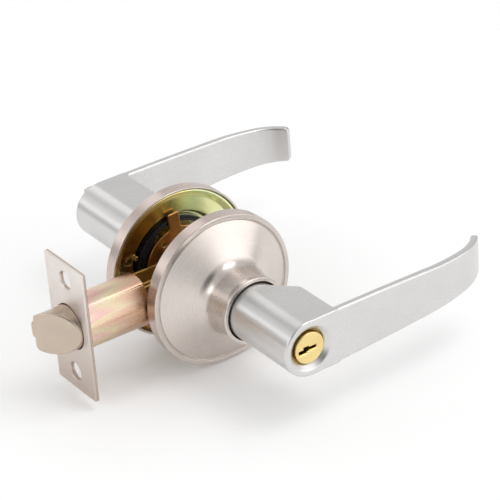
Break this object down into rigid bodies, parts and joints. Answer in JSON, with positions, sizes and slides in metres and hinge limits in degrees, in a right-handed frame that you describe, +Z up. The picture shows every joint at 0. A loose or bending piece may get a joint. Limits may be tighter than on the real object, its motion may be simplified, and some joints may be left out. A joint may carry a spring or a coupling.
{
  "type": "lever handle lockset",
  "caption": "Door lockset with a keyed exterior lever, a turn-button interior lever, round roses and a tubular spring latch with a deadlatch plunger.",
  "frame": {"origin": "where the spindle's axis crosses the latch's axis, in the middle of the door's thickness", "axes": "+Y along the spindle to the interior side (the keyed exterior side is at -Y), +X from the latch towards both lever tips, +Z up"},
  "size_m": [0.1643, 0.1556, 0.0644],
  "materials": {
    "rose_nickel": "satin, brushed round the rim",
    "lever_nickel": "satin, brushed along the lever",
    "plate_nickel": "satin",
    "bolt_nickel": "satin",
    "chromate": "iridescent yellow zinc chromate",
    "copper_chromate": "dark yellow chromate",
    "blued_steel": "oiled blued spring steel",
    "polished_brass": "polished",
    "stamped_brass": "as stamped",
    "zinc_steel": "bright zinc plate",
    "button_nickel": "satin"
  },
  "bodies": {
    "latch_case": {"latch_faceplate": "plate_nickel", "latch_backplate": "plate_nickel", "latch_tube": "chromate", "latch_end_cap": "stamped_brass", "latch_side_plates": "stamped_brass", "bolt_spring": "zinc_steel"},
    "latch_cam": {"latch_cam": "stamped_brass"},
    "latch_bolt": {"latch_bolt": "bolt_nickel", "bolt_tail": "stamped_brass", "plunger_spring": "zinc_steel"},
    "deadlatch": {"deadlatch_plunger": "bolt_nickel"},
    "exterior_half": {"exterior_rose": "rose_nickel", "exterior_mounting_plate": "chromate", "exterior_posts": "zinc_steel", "exterior_return_spring": "blued_steel"},
    "exterior_lever": {"exterior_lever": "lever_nickel", "exterior_sleeve": "chromate", "exterior_sleeve_clip": "blued_steel", "exterior_spring_driver": "copper_chromate", "cylinder_housing": "stamped_brass", "driver_pins": "zinc_steel", "pin_springs": "zinc_steel", "pin_cover_strip": "stamped_brass", "spindle": "zinc_steel", "exterior_catch_spring": "zinc_steel"},
    "exterior_catch": {"exterior_lever_catch": "zinc_steel"},
    "key_plug": {"key_plug": "polished_brass", "plug_clip": "blued_steel", "key_pins": "polished_brass", "lock_bar": "zinc_steel"},
    "interior_half": {"interior_rose": "rose_nickel", "interior_mounting_plate": "chromate", "mounting_screws": "zinc_steel", "interior_return_spring": "blued_steel"},
    "interior_lever": {"interior_lever": "lever_nickel", "interior_sleeve": "chromate", "interior_sleeve_clip": "blued_steel", "interior_spring_driver": "copper_chromate", "button_bushing": "stamped_brass", "detent_washer": "blued_steel", "interior_catch_spring": "zinc_steel"},
    "interior_catch": {"interior_lever_catch": "zinc_steel"},
    "turn_button": {"turn_button": "button_nickel", "button_shaft": "zinc_steel"}
  },
  "joints": [
    {"name": "exterior_half_slide", "type": "slide", "parent": "latch_case", "child": "exterior_half", "axis": [0, -1, 0], "range_m": [0, 0.0105]},
    {"name": "interior_half_slide", "type": "slide", "parent": "latch_case", "child": "interior_half", "axis": [0, 1, 0], "range_m": [0, 0.0105]},
    {"name": "exterior_lever_turn", "type": "hinge", "parent": "exterior_half", "child": "exterior_lever", "pos_m": [0, 0, 0], "axis": [0, 1, 0], "range_deg": [0, 52], "stiffness_Nm_per_rad": 0.5, "springref_deg": -25.78, "deforming": ["exterior_return_spring"]},
    {"name": "interior_lever_turn", "type": "hinge", "parent": "interior_half", "child": "interior_lever", "pos_m": [0, 0, 0], "axis": [0, 1, 0], "range_deg": [0, 52], "stiffness_Nm_per_rad": 0.5, "springref_deg": -25.78, "deforming": ["interior_return_spring"]},
    {"name": "latch_cam_turn", "type": "hinge", "parent": "latch_case", "child": "latch_cam", "pos_m": [0, 0, 0], "axis": [0, 1, 0], "range_deg": [0, 52]},
    {"name": "bolt_slide", "type": "slide", "parent": "latch_case", "child": "latch_bolt", "axis": [1, 0, 0], "range_m": [0, 0.0123], "stiffness_N_per_m": 400, "springref_m": -0.012, "deforming": ["bolt_spring"]},
    {"name": "plunger_slide", "type": "slide", "parent": "latch_bolt", "child": "deadlatch", "axis": [1, 0, 0], "range_m": [0, 0.0085], "stiffness_N_per_m": 120, "springref_m": -0.006, "deforming": ["plunger_spring"]},
    {"name": "key_turn", "type": "hinge", "parent": "exterior_lever", "child": "key_plug", "pos_m": [0, 0, 0], "axis": [0, 1, 0], "range_deg": [0, 90]},
    {"name": "button_turn", "type": "hinge", "parent": "interior_lever", "child": "turn_button", "pos_m": [0, 0, 0], "axis": [0, 1, 0], "range_deg": [0, 90]},
    {"name": "exterior_catch_press", "type": "slide", "parent": "exterior_lever", "child": "exterior_catch", "axis": [0, 0, 1], "range_m": [0, 0.0022], "stiffness_N_per_m": 60, "springref_m": -0.002, "deforming": ["exterior_catch_spring"]},
    {"name": "interior_catch_press", "type": "slide", "parent": "interior_lever", "child": "interior_catch", "axis": [0, 0, 1], "range_m": [0, 0.0022], "stiffness_N_per_m": 60, "springref_m": -0.002, "deforming": ["interior_catch_spring"]}
  ],
  "couplings": [
    {"joint": "interior_half_slide", "follows": "exterior_half_slide", "ratio": 1},
    {"joint": "interior_lever_turn", "follows": "exterior_lever_turn", "ratio": 1},
    {"joint": "latch_cam_turn", "follows": "exterior_lever_turn", "ratio": 1},
    {"joint": "bolt_slide", "follows": "exterior_lever_turn", "m_per_rad": 0.013442},
    {"joint": "button_turn", "follows": "key_turn", "ratio": 1}
  ]
}
